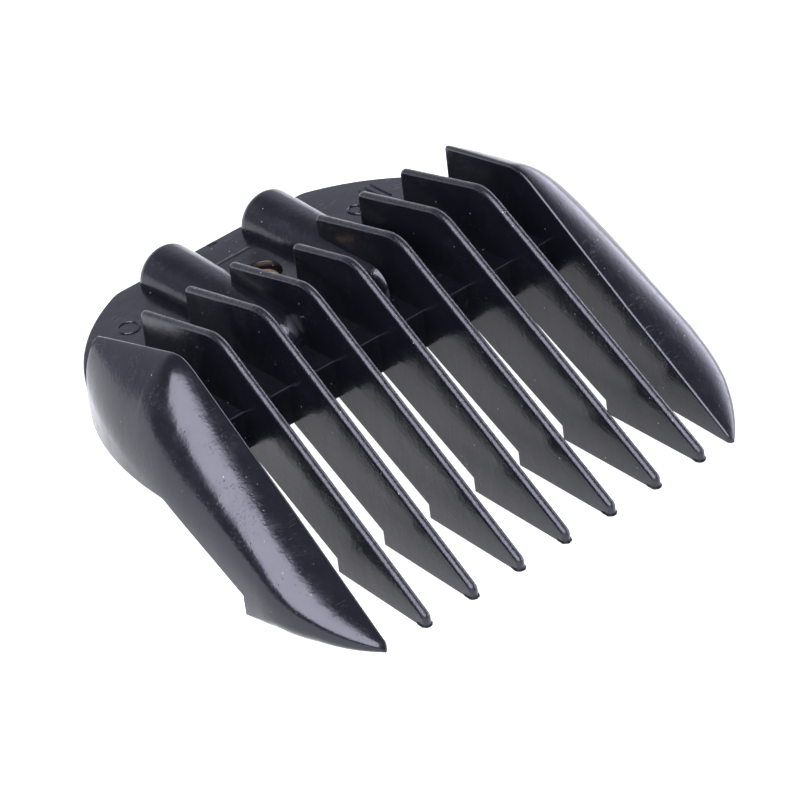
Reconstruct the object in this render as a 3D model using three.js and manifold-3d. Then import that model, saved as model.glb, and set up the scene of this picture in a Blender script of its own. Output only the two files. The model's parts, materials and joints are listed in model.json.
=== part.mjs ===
// Clipper guard comb: a plate that lies on the clipper's blade, with a row of spacer teeth in front of it.
//
// Each sub-part is drawn in the comb's own frame: x to the right, y to the rear, z up from the plate's top,
// with the rivet hole's centre as the zero point. "Forward" distances are measured from there towards the
// tooth tips, so forward = -y. The whole comb is then tilted to the way it lies on a table, on the steps
// under its side fins and on the hook of its clip.

import * as THREE from 'three';
import { mergeVertices } from 'three/addons/utils/BufferGeometryUtils.js';
import Module from 'manifold-3d';

const wasm = await Module();
wasm.setup();

// ---- driving dimensions, in millimetres and degrees ----

const GAP = 0.3;                 // clearance between neighbouring solids
const BEYOND = 1;                // how far a cutter runs past the faces that it opens

const PLATE_DEPTH = 4.1;         // plate's top to the foot of its rim
const PLATE_WALL = 1.6;          // thickness of the plate's top wall
const RIM = 1.5;                 // thickness of the rim
const PLATE_REAR = -8.2;         // forward position of the plate's rear edge
const REAR_CORNER = 3;           // radius where the straight rear edge meets the rounded outline
const OUTLINE_HALF_WIDTH = 27.3; // the outline is a fourth part of a full oval: half its width,
const OUTLINE_LENGTH = 29.9;     // half its length, cut short by the rear edge,
const OUTLINE_CENTRE = 19.8;     // the forward position of its centre
const OUTLINE_POWER = 2.3;       // and its fullness: 2 is an ellipse

const TOOTH_COUNT = 7;
const TOOTH_THICKNESS = 0.95;
const TOOTH_PITCH = 5.34;        // spacing of the teeth level with the rivet hole
const FAN_STEP = 0.473;          // angle between neighbouring teeth, in plan
const TOOTH_REAR = 2.4;          // forward position of a tooth's rear edge
const MIDDLE_TOOTH_REAR = 5.5;   // the middle tooth leaves room for the rivet
const TOOTH_CORNER = 0.7;        // rounding of a tooth's rear top corner
const TOP_RISE = 0.2;            // rise of the top edge per millimetre forward
const TOP_HEIGHT = 4.2;          // height of the top edge's line above the rivet hole
const SKIN_FALL = 0.707;         // fall of the long skin edge per millimetre forward
const SKIN_HEIGHT = 17.3;        // height of the skin edge's line above the rivet hole
const BEND_REACH = 1.6;          // half the length of the rounded bend between the two
const SEAT_FALL = 0.591;         // fall of the blade seat per millimetre forward
const SEAT_HEIGHT = 6.12;        // height of the seat's line above the rivet hole
const STOP_FORWARD = 28.9;       // where the blade's edge meets the stop
const FOOT_FALL = 0.045;         // fall of the short bottom edge per millimetre forward
const FOOT_HEIGHT = -11.16;      // height of the bottom edge's line above the rivet hole
const TIP_RADIUS = 0.65;

const FIN_REAR = 2.62;           // forward position of a fin's rear face
const FIN_TIP = 40.35;           // and of its tip
const FIN_OFFSET = 1.3;          // the inner face stands this far inside the next tooth's place
const FIN_SPLAY_REAR = 1.2;      // its rear end leans outwards by this much,
const FIN_SPLAY_FRONT = -0.17;   // and its front end inwards, from FIN_STRAIGHT on
const FIN_STRAIGHT = 28;
const FIN_FALL = 0.07;           // a fin's crest falls away from the teeth's per millimetre ahead of the bend
const FIN_TAPER = 0.01;          // narrowing of the side per millimetre forward
const FIN_NOSE_START = 29.4;     // where a fin starts to narrow towards its tip
const FIN_NOSE_POWER = 0.9;      // fullness of the narrowing
const FIN_TIP_RADIUS = 0.5;      // rounding of the tip in plan
const FIN_TIP_DROP = 0.5;        // and how far the crest drops round it
const FIN_TIP_STEPS = 4;
const FIN_TIP_TURN = 75;         // the rounding ends here, in a narrow flat
const FIN_ROUND_REAR = 1.85;     // fullness of the cross-section at the rear: 2 is an ellipse
const FIN_ROUND_BEND = 1.65;     // at the bend
const FIN_ROUND_FRONT = 2.8;     // and from FIN_STRAIGHT on
const FIN_STOP = 27.6;           // forward position of the step under a fin
const FIN_BLEND_BEHIND = 2;      // the upright part of the side changes level from here behind the step
const FIN_BLEND_AHEAD = 4;       // to here ahead of it
const FIN_FOOT_FALL = 0.1;       // fall of the foot per millimetre ahead of the step
const FIN_FOOT_STEP = 0.001;     // least height of the upright part of the side
const FIN_SECTIONS = 28;
const FIN_CURVE_STEPS = 10;

const DOME_X = 6.3;              // distance of each dome's axis from the middle
const DOME_REAR = -7.85;         // forward position of a dome's rear end
const DOME_REAR_RADIUS = 3.15;
const DOME_FRONT_RADIUS = 2.75;
const DOME_WALL = 0.9;
const DOME_NOSE = 10.2;          // forward position where the rounded nose starts
const DOME_EDGE = 1.1;           // rounding of the rear edge
const DOME_SIDES = 40;

const HOLE_RADIUS = 1.8;         // the counterbore that shows the rivet
const HOLE_DEPTH = 1.1;
const SHANK_HOLE_RADIUS = 0.9;
const SHANK_RADIUS = 0.6;
const RIVET_HEAD_RADIUS = 1.45;
const RIVET_HEAD_TOP = -0.45;
const RIVET_HEAD_RIM = 0.15;     // upright part of the head's edge
const RIVET_HEAD_CROWN = 0.08;   // rise of the head's middle
const RIVET_TAIL_RADIUS = 1.2;
const RIVET_TAIL_HEIGHT = 0.45;
const RIVET_TAIL_EDGE = 0.2;     // chamfer of the tail
const RIVET_SIDES = 32;

const CLIP_WIDTH = 8;
const CLIP_THICKNESS = 0.5;
const CLIP_FRONT = 3.2;          // forward position of the strip's front end
const CLIP_BEND = -5.45;         // and of the bend between strip and arm
const CLIP_REACH = 6.75;         // plate's top to the bottom of the hook
const HOOK_LENGTH = 1.0;
const HOOK_CORNER = 0.2;
const CLIP_CORNER = 1.0;         // chamfer at the strip's front end

// ---- lines of the side view: height as a function of the forward distance ----

const rad = THREE.MathUtils.degToRad;
const topLine = (f) => TOP_HEIGHT + TOP_RISE * f;
const skinLine = (f) => SKIN_HEIGHT - SKIN_FALL * f;
const seatLine = (f) => SEAT_HEIGHT - SEAT_FALL * f;
const footLine = (f) => FOOT_HEIGHT - FOOT_FALL * f;

const BEND_FORWARD = (SKIN_HEIGHT - TOP_HEIGHT) / (TOP_RISE + SKIN_FALL);
const PLATE_FRONT = (SEAT_HEIGHT + PLATE_DEPTH) / SEAT_FALL;

// Top outline with its rounded bend, which is a parabola that meets both lines smoothly.
function crestLine(f) {
  const along = f - (BEND_FORWARD - BEND_REACH);
  if (along <= 0) return topLine(f);
  if (along >= 2 * BEND_REACH) return skinLine(f);
  return topLine(f) - (TOP_RISE + SKIN_FALL) * along ** 2 / (4 * BEND_REACH);
}

// ---- geometry helpers ----

function toSolid(geometry) {
  const bare = geometry.clone();
  bare.deleteAttribute('normal');
  bare.deleteAttribute('uv');
  const merged = mergeVertices(bare, 1e-5);
  return new wasm.Manifold(new wasm.Mesh({
    numProp: 3,
    vertProperties: new Float32Array(merged.attributes.position.array),
    triVerts: new Uint32Array(merged.index.array),
  }));
}

function toGeometry(solid) {
  const mesh = solid.getMesh();
  const geometry = new THREE.BufferGeometry();
  geometry.setAttribute('position', new THREE.BufferAttribute(mesh.vertProperties, 3));
  geometry.setIndex(new THREE.BufferAttribute(mesh.triVerts, 1));
  return geometry;
}

function subtract(geometry, ...cutters) {
  const result = cutters.reduce((body, cutter) => body.subtract(toSolid(cutter)), toSolid(geometry));
  return toGeometry(result);
}

// A plan shape (x, y) made into a slab between two heights.
function slab(shape, low, high) {
  const options = { depth: high - low, bevelEnabled: false, curveSegments: 12 };
  const geometry = new THREE.ExtrudeGeometry(shape, options);
  return geometry.translate(0, 0, low);
}

// A side-view outline of [forward, height] points made into a plate that is centred on x = 0.
function sidePlate(points, thickness) {
  const shape = new THREE.Shape(points.map(([f, z]) => new THREE.Vector2(f, z)));
  const geometry = new THREE.ExtrudeGeometry(shape, { depth: thickness, bevelEnabled: false });
  geometry.translate(0, 0, -thickness / 2);
  geometry.rotateX(Math.PI / 2);
  return geometry.rotateZ(-Math.PI / 2);
}

function arcPoints(cx, cy, radius, from, to, steps) {
  return Array.from({ length: steps + 1 }, (_, i) => {
    const angle = rad(from + (to - from) * i / steps);
    return [cx + radius * Math.cos(angle), cy + radius * Math.sin(angle)];
  });
}

// ---- base plate ----

// Half width of the plate's rounded outline, ahead of its straight rear edge.
function outlineHalfWidth(f, inset = 0) {
  const along = (OUTLINE_CENTRE - f) / (OUTLINE_LENGTH - inset);
  return (OUTLINE_HALF_WIDTH - inset) * (1 - along ** OUTLINE_POWER) ** (1 / OUTLINE_POWER);
}

const toothX = (index, f) => index * (TOOTH_PITCH + Math.tan(rad(FAN_STEP)) * f);

// Value at the forward distance f of a quantity given at a fin's rear, at the bend and from FIN_STRAIGHT on.
function alongFin(f, rear, bend, front) {
  const { lerp, clamp } = THREE.MathUtils;
  if (f < BEND_FORWARD) return lerp(rear, bend, (f - FIN_REAR) / (BEND_FORWARD - FIN_REAR));
  return lerp(bend, front, clamp((f - BEND_FORWARD) / (FIN_STRAIGHT - BEND_FORWARD), 0, 1));
}

function finInnerX(f) {
  return toothX((TOOTH_COUNT + 1) / 2, f) - FIN_OFFSET + alongFin(f, FIN_SPLAY_REAR, 0, FIN_SPLAY_FRONT);
}

// Right half of the plate's outline as [x, forward], from the end of the rear edge to the front corner.
function plateHalfOutline(inset) {
  const rear = PLATE_REAR + inset;
  const front = PLATE_FRONT - inset;
  const shoulder = FIN_REAR - GAP - inset;
  const onCurve = (f) => [outlineHalfWidth(f, inset), f];
  const start = rear + REAR_CORNER / 10;
  const curve = Array.from({ length: 17 }, (_, i) => onCurve(start + (shoulder - start) * i / 16));
  return [
    ...roundedCorner([0, rear], onCurve(rear), onCurve(start), REAR_CORNER, 4),
    ...curve,
    [finInnerX(shoulder) - GAP - inset, shoulder],
    [finInnerX(BEND_FORWARD) - GAP - inset, BEND_FORWARD],
    [finInnerX(front) - GAP - inset, front],
  ];
}

function plateShape(inset) {
  const right = plateHalfOutline(inset);
  const left = right.map(([x, f]) => [-x, f]).reverse();
  return new THREE.Shape([...right, ...left].map(([x, f]) => new THREE.Vector2(x, -f)));
}

function circleShape(radius) {
  return new THREE.Shape().absarc(0, 0, radius, 0, 2 * Math.PI);
}

// The slot in the plate's top wall that opens a dome's hollow to the underside.
function domeSlot(side) {
  const half = DOME_FRONT_RADIUS - DOME_WALL;
  const shape = new THREE.Shape();
  shape.moveTo(-half, -PLATE_REAR - RIM);
  shape.lineTo(-half, -DOME_NOSE);
  shape.absarc(0, -DOME_NOSE, half, Math.PI, 2 * Math.PI);
  shape.lineTo(half, -PLATE_REAR - RIM);
  return slab(shape, -PLATE_DEPTH - BEYOND, BEYOND).translate(side * DOME_X, 0, 0);
}

function makeBasePlate() {
  return subtract(
    slab(plateShape(0), -PLATE_DEPTH, 0),
    slab(plateShape(RIM), -PLATE_DEPTH - BEYOND, -PLATE_WALL),
    slab(circleShape(HOLE_RADIUS), -HOLE_DEPTH, BEYOND),
    slab(circleShape(SHANK_HOLE_RADIUS), -PLATE_DEPTH - BEYOND, BEYOND),
    domeSlot(-1),
    domeSlot(1),
  );
}

// ---- domes ----

// Half of a dome's long section as lathe points (radius, y), nose first, closed on the axis.
function domeProfile(wall, rearY) {
  const front = DOME_FRONT_RADIUS - wall;
  const rear = DOME_REAR_RADIUS - wall;
  const edge = wall === 0 ? DOME_EDGE : 0;
  const nose = arcPoints(0, -DOME_NOSE, front, -90, 0, 8);
  const rim = edge ? arcPoints(rear - edge, rearY - edge, edge, 0, 90, 4) : [[rear, rearY]];
  return [...nose, ...rim, [0, rearY]].map(([r, y]) => new THREE.Vector2(Math.max(r, 0), y));
}

function makeDome() {
  const outer = new THREE.LatheGeometry(domeProfile(0, -DOME_REAR), DOME_SIDES);
  const hollow = new THREE.LatheGeometry(domeProfile(DOME_WALL, -PLATE_REAR - RIM), DOME_SIDES);
  const size = 4 * DOME_NOSE;
  const below = new THREE.BoxGeometry(size, size, size).translate(0, 0, GAP - size / 2);
  return subtract(outer, hollow, below);
}

// ---- teeth ----

// Rounds the corner at point b of the path a-b-c.
function roundedCorner(a, b, c, radius, steps) {
  const pa = new THREE.Vector2(...a).sub(new THREE.Vector2(...b)).normalize();
  const pc = new THREE.Vector2(...c).sub(new THREE.Vector2(...b)).normalize();
  const half = Math.acos(pa.dot(pc)) / 2;
  const reach = radius / Math.tan(half);
  const centre = pa.clone().add(pc).normalize().multiplyScalar(radius / Math.sin(half));
  const from = pa.clone().multiplyScalar(reach).sub(centre);
  const to = pc.clone().multiplyScalar(reach).sub(centre);
  const turn = Math.atan2(from.cross(to), from.dot(to));
  return Array.from({ length: steps + 1 }, (_, i) => {
    const arm = from.clone().rotateAround(new THREE.Vector2(), turn * i / steps).add(centre);
    return [b[0] + arm.x, b[1] + arm.y];
  });
}

function toothOutline(rear) {
  const tipCorner = (SKIN_HEIGHT - FOOT_HEIGHT) / (SKIN_FALL - FOOT_FALL);
  const tip = [tipCorner, skinLine(tipCorner)];
  const stopTop = [STOP_FORWARD, seatLine(STOP_FORWARD)];
  const stopFoot = [STOP_FORWARD, footLine(STOP_FORWARD)];
  const seatRear = PLATE_FRONT + GAP;
  const rearTop = [rear, topLine(rear)];
  const bendStart = BEND_FORWARD - BEND_REACH;
  const bend = Array.from({ length: 7 }, (_, i) => bendStart + 2 * BEND_REACH * i / 6);
  return [
    [rear, GAP],
    [seatRear, GAP],
    [seatRear, seatLine(seatRear)],
    stopTop,
    stopFoot,
    ...roundedCorner(stopFoot, tip, [BEND_FORWARD, skinLine(BEND_FORWARD)], TIP_RADIUS, 6),
    ...bend.map((f) => [f, crestLine(f)]).reverse(),
    ...roundedCorner([BEND_FORWARD, topLine(BEND_FORWARD)], rearTop, [rear, 0], TOOTH_CORNER, 4),
  ];
}

// The teeth beside the middle one stand on the domes, so a dome's outside is taken out of their feet.
function makeTooth(index) {
  const rear = index === 0 ? MIDDLE_TOOTH_REAR : TOOTH_REAR;
  const tooth = sidePlate(toothOutline(rear), TOOTH_THICKNESS);
  if (Math.abs(index) !== 1) return tooth;
  const dome = new THREE.LatheGeometry(domeProfile(-GAP, -DOME_REAR), DOME_SIDES);
  dome.translate(index * DOME_X - toothX(index, 0), 0, 0);
  dome.rotateZ(-rad(FAN_STEP) * index);
  return subtract(tooth, dome);
}

// ---- side fins ----

const finSideX = (f) => OUTLINE_HALF_WIDTH - FIN_TAPER * (f - OUTLINE_CENTRE);

// A fin's side carries on the plate's round outline, then runs nearly straight and closes in a nose.
function finOuterX(f) {
  if (f < OUTLINE_CENTRE) return outlineHalfWidth(f);
  if (f < FIN_NOSE_START) return finSideX(f);
  const along = (f - FIN_NOSE_START) / (FIN_TIP - FIN_NOSE_START);
  const bulge = finSideX(FIN_NOSE_START) - finInnerX(FIN_NOSE_START) - FIN_TIP_RADIUS;
  return finInnerX(f) + FIN_TIP_RADIUS + bulge * (1 - along ** 2) ** FIN_NOSE_POWER;
}

const finFoot = (f) => footLine(FIN_STOP) - FIN_FOOT_FALL * (f - FIN_STOP);

// Height where a fin's rounded side becomes upright.
function finShoulder(f) {
  const ends = FIN_STOP - FIN_BLEND_BEHIND;
  const start = FIN_STOP + FIN_BLEND_AHEAD;
  if (f < PLATE_FRONT) return -PLATE_DEPTH * (f - FIN_REAR) / (PLATE_FRONT - FIN_REAR);
  if (f < ends) return seatLine(f);
  if (f > start) return finFoot(f);
  return THREE.MathUtils.lerp(seatLine(ends), finFoot(start), (f - ends) / (start - ends));
}

// One cross-section of a fin, as [x, y, z] points round a convex ring. Its foot is kept a hair below the
// shoulder, so that no two points of a ring are the same.
function finRing(f, side) {
  const nose = THREE.MathUtils.clamp(1 - (FIN_TIP - f) / FIN_TIP_RADIUS, 0, 1);
  const turned = 1 - Math.sqrt(1 - nose ** 2);
  const inner = finInnerX(f) + FIN_TIP_RADIUS * turned;
  const width = finOuterX(f) - inner;
  const crest = crestLine(f) - FIN_FALL * Math.max(f - BEND_FORWARD, 0) - FIN_TIP_DROP * turned;
  const power = 2 / alongFin(f, FIN_ROUND_REAR, FIN_ROUND_BEND, FIN_ROUND_FRONT);
  const shoulder = finShoulder(f);
  const foot = Math.min(finFoot(f), shoulder) - FIN_FOOT_STEP;
  const curve = Array.from({ length: FIN_CURVE_STEPS + 1 }, (_, i) => {
    const angle = Math.PI / 2 * i / FIN_CURVE_STEPS;
    const rise = Math.max(Math.cos(angle), 0) ** power;
    return [inner + width * Math.sin(angle) ** power, shoulder + (crest - shoulder) * rise];
  });
  return [[inner, foot], ...curve, [inner + width, foot]].map(([x, z]) => [side * x, -f, z]);
}

// Joins a row of rings into one closed mesh.
function loft(rings, flip) {
  const size = rings[0].length;
  const index = [];
  const triangle = (a, b, c) => index.push(...(flip ? [a, c, b] : [a, b, c]));
  for (let r = 0; r + 1 < rings.length; r += 1) {
    for (let i = 0; i < size; i += 1) {
      const a = r * size + i;
      const b = r * size + (i + 1) % size;
      triangle(a, b, b + size);
      triangle(a, b + size, a + size);
    }
  }
  const last = (rings.length - 1) * size;
  for (let i = 1; i + 1 < size; i += 1) {
    triangle(0, i + 1, i);
    triangle(last, last + i, last + i + 1);
  }
  const geometry = new THREE.BufferGeometry();
  geometry.setAttribute('position', new THREE.Float32BufferAttribute(rings.flat(2), 3));
  geometry.setIndex(index);
  return geometry;
}

// Everything that the blade and the table side take away from under a fin.
function underFinCutter() {
  const rear = FIN_REAR - BEYOND;
  const foot = finFoot(FIN_TIP) - BEYOND;
  const outline = [
    [rear, foot],
    [FIN_STOP, foot],
    [FIN_STOP, seatLine(FIN_STOP)],
    [PLATE_FRONT, -PLATE_DEPTH],
    [rear, -PLATE_DEPTH],
  ];
  const width = 2 * (OUTLINE_HALF_WIDTH + BEYOND);
  return sidePlate(outline, width);
}

function makeFin(side) {
  const span = FIN_TIP - FIN_TIP_RADIUS - FIN_REAR;
  const along = Array.from({ length: FIN_SECTIONS }, (_, i) => FIN_REAR + span * i / FIN_SECTIONS);
  const tip = arcPoints(FIN_REAR + span, 0, FIN_TIP_RADIUS, -90, FIN_TIP_TURN - 90, FIN_TIP_STEPS);
  const rings = [...along, ...tip.map(([f]) => f)].map((f) => finRing(f, side));
  return subtract(loft(rings, side > 0), underFinCutter());
}

// ---- rivet and spring clip ----

const STRIP_TOP = -PLATE_WALL - GAP;
const STRIP_FOOT = STRIP_TOP - CLIP_THICKNESS;

function makeRivet() {
  const headFoot = -HOLE_DEPTH + GAP / 2;
  const tailTop = STRIP_FOOT - GAP / 2;
  const tailFoot = tailTop - RIVET_TAIL_HEIGHT;
  const points = [
    [0, tailFoot],
    [RIVET_TAIL_RADIUS - RIVET_TAIL_EDGE, tailFoot],
    [RIVET_TAIL_RADIUS, tailFoot + RIVET_TAIL_EDGE],
    [RIVET_TAIL_RADIUS, tailTop],
    [SHANK_RADIUS, tailTop],
    [SHANK_RADIUS, headFoot],
    [RIVET_HEAD_RADIUS, headFoot],
    [RIVET_HEAD_RADIUS, headFoot + RIVET_HEAD_RIM],
    [RIVET_HEAD_RADIUS * 0.75, RIVET_HEAD_TOP - RIVET_HEAD_CROWN],
    [0, RIVET_HEAD_TOP],
  ];
  const geometry = new THREE.LatheGeometry(points.map(([r, z]) => new THREE.Vector2(r, z)), RIVET_SIDES);
  return geometry.rotateX(Math.PI / 2);
}

function makeClipBase() {
  const half = CLIP_WIDTH / 2;
  const rear = -CLIP_BEND - CLIP_THICKNESS / 2 - GAP;
  const shape = new THREE.Shape();
  shape.moveTo(-half, rear);
  shape.lineTo(-half, -CLIP_FRONT + CLIP_CORNER);
  shape.lineTo(-half + CLIP_CORNER, -CLIP_FRONT);
  shape.lineTo(half - CLIP_CORNER, -CLIP_FRONT);
  shape.lineTo(half, -CLIP_FRONT + CLIP_CORNER);
  shape.lineTo(half, rear);
  shape.holes.push(circleShape(SHANK_HOLE_RADIUS));
  return slab(shape, STRIP_FOOT, STRIP_TOP);
}

// The arm drops from the bend and turns forward at its foot into the hook.
function makeClipArm() {
  const rear = CLIP_BEND - CLIP_THICKNESS / 2;
  const front = CLIP_BEND + CLIP_THICKNESS / 2;
  const outline = [
    [rear, -CLIP_REACH],
    [front + HOOK_LENGTH - HOOK_CORNER, -CLIP_REACH],
    [front + HOOK_LENGTH, -CLIP_REACH + HOOK_CORNER],
    [front + HOOK_LENGTH, -CLIP_REACH + CLIP_THICKNESS],
    [front, -CLIP_REACH + CLIP_THICKNESS],
    [front, STRIP_TOP],
    [rear, STRIP_TOP],
  ];
  return sidePlate(outline, CLIP_WIDTH);
}

// ---- assembly ----

const plastic = () => new THREE.MeshStandardMaterial({ color: 0x1d1e24, roughness: 0.28, metalness: 0 });
const springSteel = () => new THREE.MeshStandardMaterial({ color: 0xb4b6ba, roughness: 0.35, metalness: 1 });
const copperAlloy = () => new THREE.MeshStandardMaterial({ color: 0xb07a4a, roughness: 0.45, metalness: 1 });

const comb = new THREE.Group();

function addPart(name, geometry, material) {
  const mesh = new THREE.Mesh(geometry, material);
  mesh.name = name;
  comb.add(mesh);
  return mesh;
}

addPart('base_plate', makeBasePlate(), plastic());
for (const [name, side] of [['left', -1], ['right', 1]]) {
  addPart(`screw_dome_${name}`, makeDome(), plastic()).position.x = side * DOME_X;
  addPart(`side_fin_${name}`, makeFin(side), plastic());
}
for (let number = 1; number <= TOOTH_COUNT; number += 1) {
  const index = number - (TOOTH_COUNT + 1) / 2;
  const tooth = addPart(`tooth_${number}`, makeTooth(index), plastic());
  tooth.position.x = toothX(index, 0);
  tooth.rotation.z = rad(FAN_STEP) * index;
}
addPart('clip_rivet', makeRivet(), copperAlloy());
addPart('clip_base', makeClipBase(), springSteel());
addPart('clip_arm', makeClipArm(), springSteel());

// Lying on a table: the hook of the clip and the corners of the steps under the fins are level.
const hookForward = CLIP_BEND - CLIP_THICKNESS / 2;
const restPitch = Math.atan2(-CLIP_REACH - footLine(FIN_STOP), FIN_STOP - hookForward);
comb.rotation.x = -restPitch;

// The origin is on the table, under the middle of the comb.
const part = new THREE.Group();
part.add(comb);
part.updateMatrixWorld(true);
const box = new THREE.Box3().setFromObject(part, true);
comb.position.y = -(box.min.y + box.max.y) / 2;
comb.position.z = -box.min.z;

export default part;
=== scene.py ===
import json
import math
import random

import bmesh
import bpy
from mathutils import Matrix, Vector, noise


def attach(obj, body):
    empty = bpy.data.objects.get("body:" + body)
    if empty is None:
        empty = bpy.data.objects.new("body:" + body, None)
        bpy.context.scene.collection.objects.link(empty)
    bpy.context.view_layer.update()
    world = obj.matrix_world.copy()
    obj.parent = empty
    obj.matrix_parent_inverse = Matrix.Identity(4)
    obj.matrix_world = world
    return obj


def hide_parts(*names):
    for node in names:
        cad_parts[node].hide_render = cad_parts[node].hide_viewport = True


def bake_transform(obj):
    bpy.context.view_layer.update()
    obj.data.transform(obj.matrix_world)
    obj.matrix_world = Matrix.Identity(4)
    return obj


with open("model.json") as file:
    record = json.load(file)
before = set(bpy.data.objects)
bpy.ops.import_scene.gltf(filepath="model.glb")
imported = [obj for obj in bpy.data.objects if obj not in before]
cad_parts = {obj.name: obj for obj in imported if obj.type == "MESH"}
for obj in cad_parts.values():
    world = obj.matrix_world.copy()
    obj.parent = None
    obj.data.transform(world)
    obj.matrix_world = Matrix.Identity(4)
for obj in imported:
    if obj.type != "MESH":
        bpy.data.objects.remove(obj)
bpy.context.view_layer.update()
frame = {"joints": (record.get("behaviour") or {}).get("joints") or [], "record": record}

# A clipper guard comb of glossy black plastic, lying on a white surface under soft studio light.
#
# The pieces are drawn in millimetres in the comb's own frame: x to the right, "forward" towards the tooth
# tips, height above the plate's top, with the rivet hole's centre as the zero point. COMB then puts them
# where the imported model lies: its tilt comes from the record's blade stop, its place from the clip's joint.

# ---- dimensions, in millimetres and degrees, as in the CAD part ----

PLATE_DEPTH = 4.1
PLATE_WALL = 1.6
RIM = 1.5
PLATE_REAR = -8.2
REAR_CORNER = 3
OUTLINE_HALF_WIDTH = 27.3
OUTLINE_LENGTH = 29.9
OUTLINE_CENTRE = 19.8
OUTLINE_POWER = 2.3

TOOTH_COUNT = 7
TOOTH_THICKNESS = 0.95
TOOTH_PITCH = 5.34
FAN_STEP = 0.473
TOOTH_REAR = 2.4
MIDDLE_TOOTH_REAR = 5.5
TOOTH_CORNER = 0.7
TOP_RISE, TOP_HEIGHT = 0.2, 4.2
SKIN_FALL, SKIN_HEIGHT = 0.707, 17.3
BEND_REACH = 1.6
SEAT_FALL, SEAT_HEIGHT = 0.591, 6.12
STOP_FORWARD = 28.9
FOOT_FALL, FOOT_HEIGHT = 0.045, -11.16

FIN_REAR = 2.62
FIN_TIP = 40.35
FIN_OFFSET = 1.3
FIN_SPLAY_REAR, FIN_SPLAY_FRONT = 1.2, -0.17
FIN_STRAIGHT = 28
FIN_FALL = 0.07
FIN_TAPER = 0.01
FIN_NOSE_START = 29.4
FIN_NOSE_POWER = 0.9
FIN_TIP_RADIUS = 0.5
FIN_TIP_DROP = 0.5
FIN_ROUND_REAR, FIN_ROUND_BEND, FIN_ROUND_FRONT = 1.85, 1.65, 2.8
FIN_FOOT_FALL = 0.1
FIN_STOP = 27.6
FIN_BLEND_BEHIND = 2
FIN_BLEND_AHEAD = 4

DOME_X = 6.3
DOME_REAR = -7.83   # 0.02 ahead of the CAD's, which keeps the finer rounding inside it
DOME_REAR_RADIUS = 3.15
DOME_FRONT_RADIUS = 2.75
DOME_WALL = 0.9
DOME_NOSE = 10.2
DOME_EDGE = 1.1

HOLE_RADIUS = 1.8
HOLE_DEPTH = 1.1
RIVET_HEAD_RADIUS = 1.45
RIVET_HEAD_TOP = -0.45
SHANK_RADIUS = 0.6
RIVET_TAIL_RADIUS = 1.2
RIVET_TAIL_HEIGHT = 0.45

CLIP_WIDTH = 8
CLIP_THICKNESS = 0.5
CLIP_FRONT = 3.2
CLIP_BEND = -5.45
CLIP_REACH = 6.75
HOOK_LENGTH = 1.0
STRIP_FOOT = -2.4

# ---- finer dimensions that only the visual model has ----

SINK = 0.2           # how far pieces of the one moulding run into each other
TIP_FORWARD = 41.18  # foremost point of a tooth, without its flash
TIP_RADIUS = 0.8
FIN_EDGE = 0.14      # rounding of a fin's rear edges
FIN_BEAD = 0.38      # rounding of a fin's crest along its inner face
FIN_FOOT_EDGE = 1.6  # rounding of a fin's outer foot, ahead of its step
PLATE_EDGE = 0.22    # rounding of the plate's upper edge
SHRINK = 0.008       # the moulding is this much inside the CAD's outline
BEAD_STEPS = 10      # faces across a tooth's rounded crest

PLATE_LAP = 0.5      # how far the plate runs under the fins, ahead of their rear edges
MOUTH_EDGE = 0.12    # rounding of the counterbore's mouth
FOOT_SINK = 0.4      # how far a tooth's foot reaches into the plate
FLASH_REACH = 0.13   # width of the lip of flash round a tip
STRIP_EDGE = 0.12    # rounding of the spring strip's edges
BEND_RADIUS = 0.55   # of the strip's middle line, at its bend
HOOK_RADIUS = 0.45

# ---- studio ----

WALL_REAR, WALL_FRONT = 0.60, 0.0   # brightness of the studio's walls
CEILING = 0.30
WINDOW = 8.0
STUDIO_COLOUR = (0.93, 0.93, 1.10)
SOFTBOX_COLOUR = (0.92, 0.92, 1.06)
SOFTBOX_AZIMUTH, SOFTBOX_ELEVATION = 57, 50
SOFTBOX_DISTANCE = 0.7
SOFTBOX_SIZE = (0.90, 0.80)
SOFTBOX_POWER = 22.0
SOFTBOX_AIM = (0, 0, 0.008)
FLOOR_HALF_SIZE = 3.0
FLOOR_GREY, FLOOR_GLOW = 0.35, 0.93

CAMERA_AZIMUTH, CAMERA_ELEVATION = -41.55, 40.40
CAMERA_FROM_HOLE = (-0.25938, -0.31216, 0.32915)
CAMERA_LENS, CAMERA_SENSOR = 247.5, 36

MM = 0.001


def record_mount(name):
    return next(m for m in frame["record"]["mounts"] if m["name"] == name)


def comb_matrix():
    rearward = Vector(record_mount("blade_stop")["axis"])
    tilt = Matrix.Rotation(math.atan2(rearward.z, rearward.y), 4, "X")
    hinge = Vector(frame["joints"][0]["pos_m"])
    hinge_in_comb = Vector((0, -CLIP_BEND, STRIP_FOOT)) * MM
    origin = hinge - tilt @ hinge_in_comb
    return Matrix.Translation(origin) @ tilt @ Matrix.Scale(MM, 4)


COMB = comb_matrix()

# ---- lines of the side view ----


def top_line(f):
    return TOP_HEIGHT + TOP_RISE * f


def skin_line(f):
    return SKIN_HEIGHT - SKIN_FALL * f


def seat_line(f):
    return SEAT_HEIGHT - SEAT_FALL * f


def foot_line(f):
    return FOOT_HEIGHT - FOOT_FALL * f


BEND_FORWARD = (SKIN_HEIGHT - TOP_HEIGHT) / (TOP_RISE + SKIN_FALL)
PLATE_FRONT = (SEAT_HEIGHT + PLATE_DEPTH) / SEAT_FALL
TOP_ANGLE = math.degrees(math.atan(TOP_RISE))
SKIN_ANGLE = math.degrees(math.atan(SKIN_FALL))


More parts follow.
